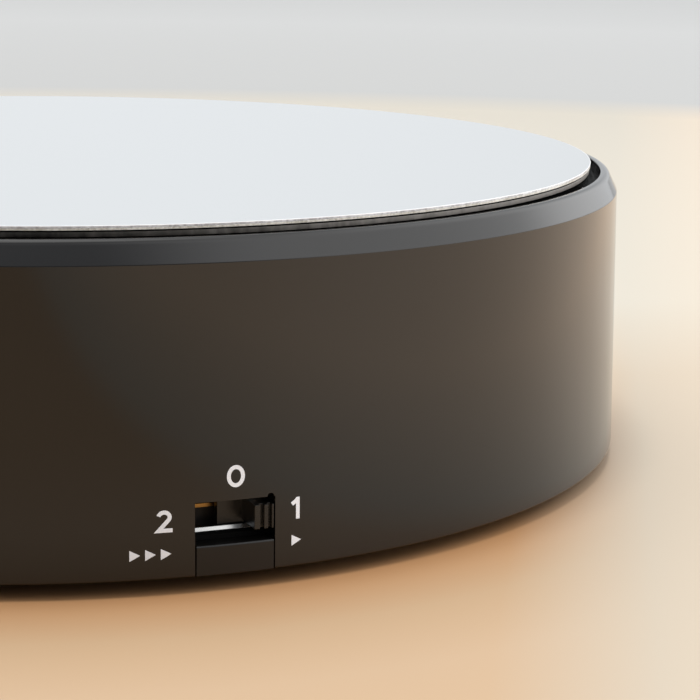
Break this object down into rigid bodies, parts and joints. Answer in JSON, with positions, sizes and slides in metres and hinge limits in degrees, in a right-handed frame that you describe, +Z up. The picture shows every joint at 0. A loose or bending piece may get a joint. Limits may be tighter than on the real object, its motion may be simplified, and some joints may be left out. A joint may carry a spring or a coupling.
{
  "type": "display turntable",
  "caption": "Round battery-driven display turntable: a mirror-topped platter turns in a black chamfered casing with a slide switch in a window at its foot.",
  "frame": {"origin": "middle of the footprint, on the table under the platter's axis", "axes": "+Z up along the platter's axis; -Y out through the middle of the switch window"},
  "size_m": [0.2, 0.2, 0.0502],
  "materials": {
    "casing_black": "satin moulded, fine texture",
    "base_black": "satin moulded",
    "platter_black": "gloss",
    "mirror": "polished mirror",
    "rubber": "matte",
    "steel": "bright rolled",
    "zinc": "zinc plated",
    "brass": "bright",
    "nylon": "natural nylon",
    "acetal": "satin",
    "knob_black": "semi-gloss",
    "phenolic": "laminated board",
    "cell_sleeve": "printed sleeve, plain",
    "resistor_body": "lacquered",
    "wire_red": "satin insulation",
    "wire_black": "satin insulation"
  },
  "bodies": {
    "base": {"upper_casing": "casing_black", "base_plate": "base_black", "foot_1": "rubber", "foot_2": "rubber", "foot_3": "rubber", "foot_4": "rubber", "case_screw_1": "zinc", "case_screw_2": "zinc", "case_screw_3": "zinc", "case_screw_4": "zinc", "cell_1": "cell_sleeve", "cell_2": "cell_sleeve", "cell_3": "cell_sleeve", "contact_plate_negative": "zinc", "contact_bridge_front": "zinc", "contact_bridge_back": "zinc", "contact_plate_positive": "zinc", "battery_spring_1": "steel", "battery_spring_2": "steel", "battery_spring_3": "steel", "switch_frame": "steel", "switch_board": "phenolic", "switch_terminal_common": "brass", "switch_terminal_low": "brass", "switch_terminal_high": "brass", "switch_screw_1": "zinc", "switch_screw_2": "zinc", "speed_resistor": "resistor_body", "gearbox_plate": "acetal", "gearbox_screw_1": "zinc", "gearbox_screw_2": "zinc", "gearbox_screw_3": "zinc", "gearbox_screw_4": "zinc", "motor_can": "steel", "motor_end_cap": "acetal", "first_gear_pin": "steel", "second_gear_pin": "steel", "output_bush": "acetal", "roller_pin_1": "steel", "roller_pin_2": "steel", "roller_pin_3": "steel", "wire_battery_to_switch": "wire_red", "wire_battery_to_motor": "wire_black", "wire_switch_to_motor": "wire_red"},
    "turntable": {"platter": "platter_black", "mirror_disc": "mirror", "hub_screw": "zinc", "output_shaft": "steel", "output_gear": "nylon"},
    "second_reduction": {"second_gear": "nylon"},
    "first_reduction": {"first_gear": "nylon"},
    "motor_rotor": {"motor_shaft": "steel", "motor_pinion": "steel"},
    "support_roller_1": {"roller_1": "acetal"},
    "support_roller_2": {"roller_2": "acetal"},
    "support_roller_3": {"roller_3": "acetal"},
    "switch_knob": {"switch_slider": "knob_black", "switch_slider_contact": "brass"},
    "bay_door": {"battery_door": "base_black"}
  },
  "joints": [
    {"name": "platter_spin", "type": "hinge", "parent": "base", "child": "turntable", "pos_m": [0, 0, 0.0411], "axis": [0, 0, 1], "continuous": true},
    {"name": "second_gear_spin", "type": "hinge", "parent": "base", "child": "second_reduction", "pos_m": [-0.0324, 0, 0.0361], "axis": [0, 0, 1], "continuous": true},
    {"name": "first_gear_spin", "type": "hinge", "parent": "base", "child": "first_reduction", "pos_m": [-0.04301, -0.01061, 0.0361], "axis": [0, 0, 1], "continuous": true},
    {"name": "motor_spin", "type": "hinge", "parent": "base", "child": "motor_rotor", "pos_m": [-0.05361, -0.02121, 0.0191], "axis": [0, 0, 1], "continuous": true},
    {"name": "roller_1_spin", "type": "hinge", "parent": "base", "child": "support_roller_1", "pos_m": [0, 0.08, 0.0418], "axis": [0, 1, 0], "continuous": true},
    {"name": "roller_2_spin", "type": "hinge", "parent": "base", "child": "support_roller_2", "pos_m": [-0.06928, -0.04, 0.0418], "axis": [-0.866, -0.5, 0], "continuous": true},
    {"name": "roller_3_spin", "type": "hinge", "parent": "base", "child": "support_roller_3", "pos_m": [0.06928, -0.04, 0.0418], "axis": [0.866, -0.5, 0], "continuous": true},
    {"name": "switch_slide", "type": "slide", "parent": "base", "child": "switch_knob", "axis": [-1, 0, 0], "range_m": [0, 0.008]},
    {"name": "battery_door_hinge", "type": "hinge", "parent": "base", "child": "bay_door", "pos_m": [0, 0.0822, 0.00255], "axis": [1, 0, 0], "range_deg": [0, 75]}
  ],
  "couplings": [
    {"joint": "second_gear_spin", "follows": "platter_spin", "ratio": -5},
    {"joint": "first_gear_spin", "follows": "platter_spin", "ratio": 20},
    {"joint": "motor_spin", "follows": "platter_spin", "ratio": -80},
    {"joint": "roller_1_spin", "follows": "platter_spin", "ratio": -20},
    {"joint": "roller_2_spin", "follows": "platter_spin", "ratio": -20},
    {"joint": "roller_3_spin", "follows": "platter_spin", "ratio": -20}
  ]
}
